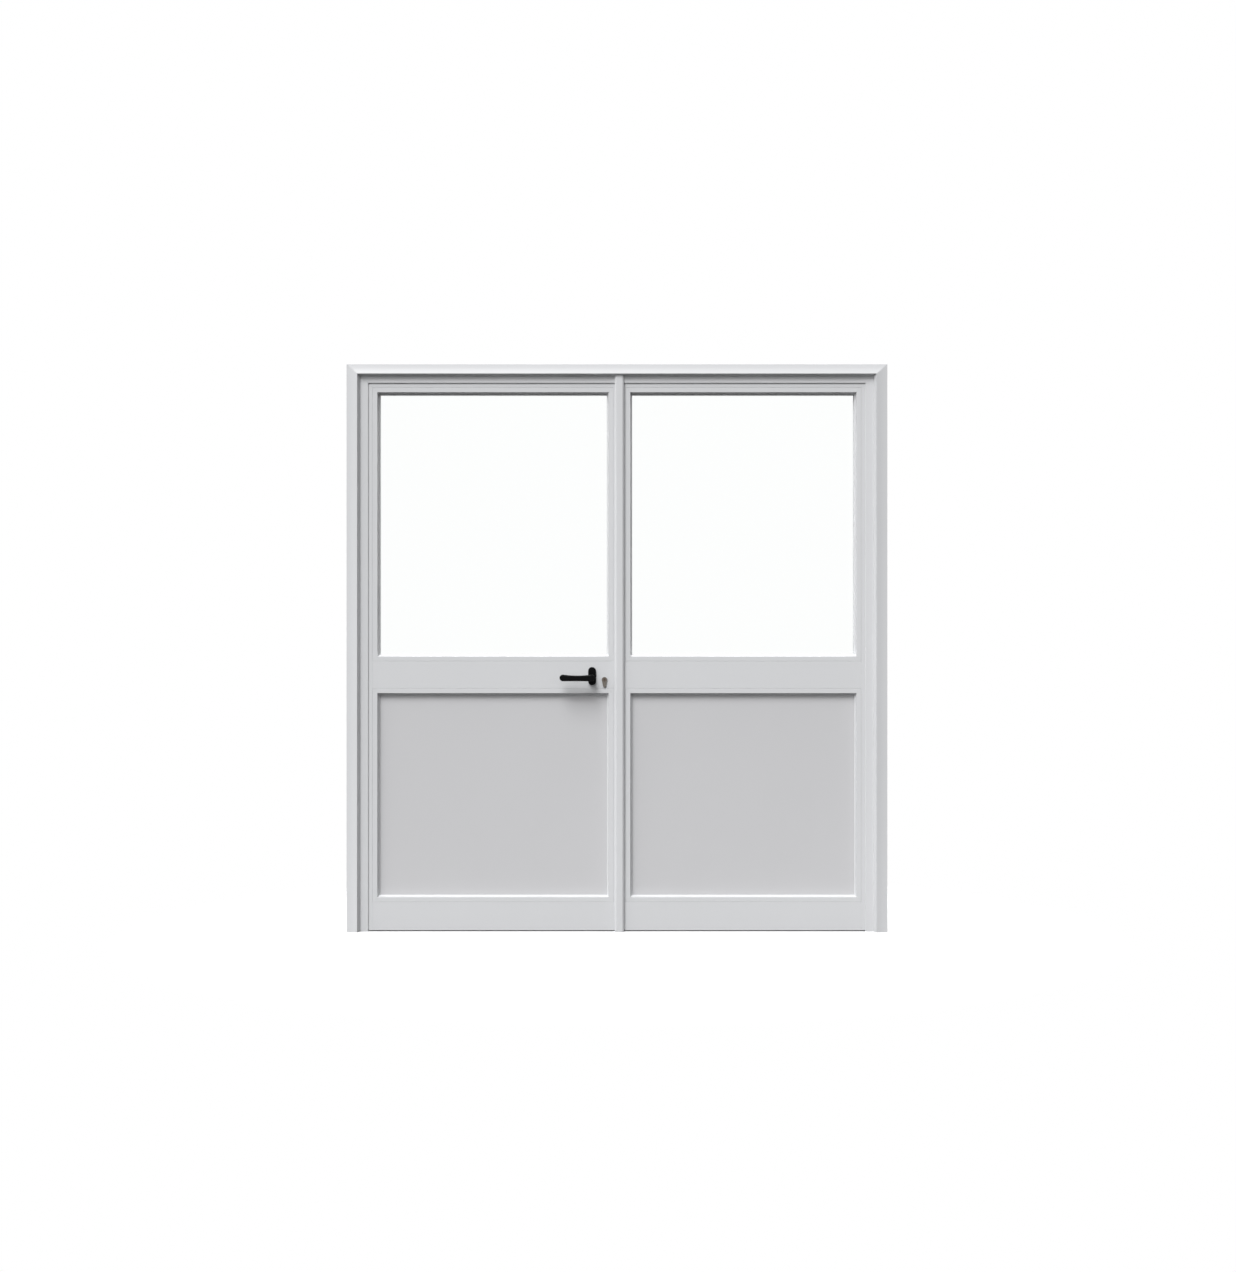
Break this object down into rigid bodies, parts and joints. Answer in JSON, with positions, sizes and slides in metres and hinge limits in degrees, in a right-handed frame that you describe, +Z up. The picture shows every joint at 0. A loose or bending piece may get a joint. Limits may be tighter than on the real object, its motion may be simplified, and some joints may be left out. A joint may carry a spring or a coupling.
{
  "type": "french doors",
  "caption": "Light grey aluminium french doors with clear upper panes and solid lower panels, hung on a fixed centre post in a moulded frame, with a black lever and a key lock.",
  "frame": {"origin": "on the floor, at the middle of the frame's width and of the leaves' thickness", "axes": "+X to the right seen from the front, +Y into the room the leaves open to, +Z up"},
  "size_m": [2, 0.16, 2.1],
  "materials": {
    "grey_coat": "satin",
    "grey_panel": "satin",
    "clear_glass": "polished",
    "grey_rubber": "matte",
    "packer_plastic": "matte",
    "mill_aluminium": "satin",
    "black_handle": "satin",
    "nickel_brass": "satin",
    "plug_brass": "satin",
    "hinge_coat": "satin",
    "bright_steel": "satin"
  },
  "bodies": {
    "frame": {"casing_head": "grey_coat", "casing_left": "grey_coat", "casing_right": "grey_coat", "centre_post": "grey_coat", "frame_corner_cleats": "mill_aluminium", "frame_seals": "grey_rubber", "head": "grey_coat", "hinge_frame_plates": "hinge_coat", "hinge_frame_screws": "bright_steel", "hinge_pins": "bright_steel", "jamb_left": "grey_coat", "jamb_right": "grey_coat", "lock_strike": "bright_steel", "post_foot": "mill_aluminium", "post_head_cleat": "mill_aluminium", "slide_bolt_keeps": "hinge_coat"},
    "left_leaf": {"left_beads": "grey_coat", "left_bottom_rail": "grey_coat", "left_bottom_sweep": "grey_rubber", "left_corner_cleats": "mill_aluminium", "left_gaskets": "grey_rubber", "left_glass": "clear_glass", "left_hinge_plates": "hinge_coat", "left_hinge_screws": "bright_steel", "left_hinge_stile": "grey_coat", "left_lock_rail": "grey_coat", "left_meeting_stile": "grey_coat", "left_panel": "grey_panel", "left_setting_blocks": "packer_plastic", "left_top_rail": "grey_coat", "rosettes": "black_handle", "rosette_screws": "bright_steel", "lock_case": "bright_steel", "lock_forend": "bright_steel", "cylinder_body": "nickel_brass"},
    "right_leaf": {"right_beads": "grey_coat", "right_bottom_rail": "grey_coat", "right_bottom_sweep": "grey_rubber", "right_corner_cleats": "mill_aluminium", "right_gaskets": "grey_rubber", "right_glass": "clear_glass", "right_hinge_plates": "hinge_coat", "right_hinge_screws": "bright_steel", "right_hinge_stile": "grey_coat", "right_lock_rail": "grey_coat", "right_meeting_stile": "grey_coat", "right_panel": "grey_panel", "right_setting_blocks": "packer_plastic", "right_top_rail": "grey_coat", "slide_bolt_cases": "hinge_coat"},
    "handle": {"front_lever": "black_handle", "rear_lever": "black_handle", "spindle": "bright_steel", "spindle_pinion": "bright_steel"},
    "handle_bolt": {"handle_bolt": "bright_steel"},
    "key_plug": {"key_plug": "plug_brass"},
    "deadbolt": {"deadbolt": "bright_steel"},
    "lower_slide_bolt": {"slide_bolt_lower": "bright_steel"},
    "upper_slide_bolt": {"slide_bolt_upper": "bright_steel"}
  },
  "joints": [
    {"name": "left_leaf_swing", "type": "hinge", "parent": "frame", "child": "left_leaf", "pos_m": [-0.93, 0.031, 1.05], "axis": [0, 0, 1], "range_deg": [0, 105]},
    {"name": "right_leaf_swing", "type": "hinge", "parent": "frame", "child": "right_leaf", "pos_m": [0.93, 0.031, 1.05], "axis": [0, 0, -1], "range_deg": [0, 105]},
    {"name": "handle_lift", "type": "hinge", "parent": "left_leaf", "child": "handle", "pos_m": [-0.092, 0, 0.94], "axis": [0, 1, 0], "range_deg": [0, 90]},
    {"name": "handle_bolt_slide", "type": "slide", "parent": "left_leaf", "child": "handle_bolt", "axis": [1, 0, 0], "range_m": [0, 0.012]},
    {"name": "key_turn", "type": "hinge", "parent": "left_leaf", "child": "key_plug", "pos_m": [-0.046, 0, 0.933], "axis": [0, 1, 0], "range_deg": [0, 360]},
    {"name": "deadbolt_slide", "type": "slide", "parent": "left_leaf", "child": "deadbolt", "axis": [1, 0, 0], "range_m": [0, 0.012]},
    {"name": "lower_bolt_slide", "type": "slide", "parent": "right_leaf", "child": "lower_slide_bolt", "axis": [-1, 0, 0], "range_m": [0, 0.012]},
    {"name": "upper_bolt_slide", "type": "slide", "parent": "right_leaf", "child": "upper_slide_bolt", "axis": [-1, 0, 0], "range_m": [0, 0.012]}
  ],
  "couplings": [
    {"joint": "handle_bolt_slide", "follows": "handle_lift", "m_per_rad": 0.0076394},
    {"joint": "key_turn", "follows": "deadbolt_slide", "rad_per_m": 523.59}
  ]
}
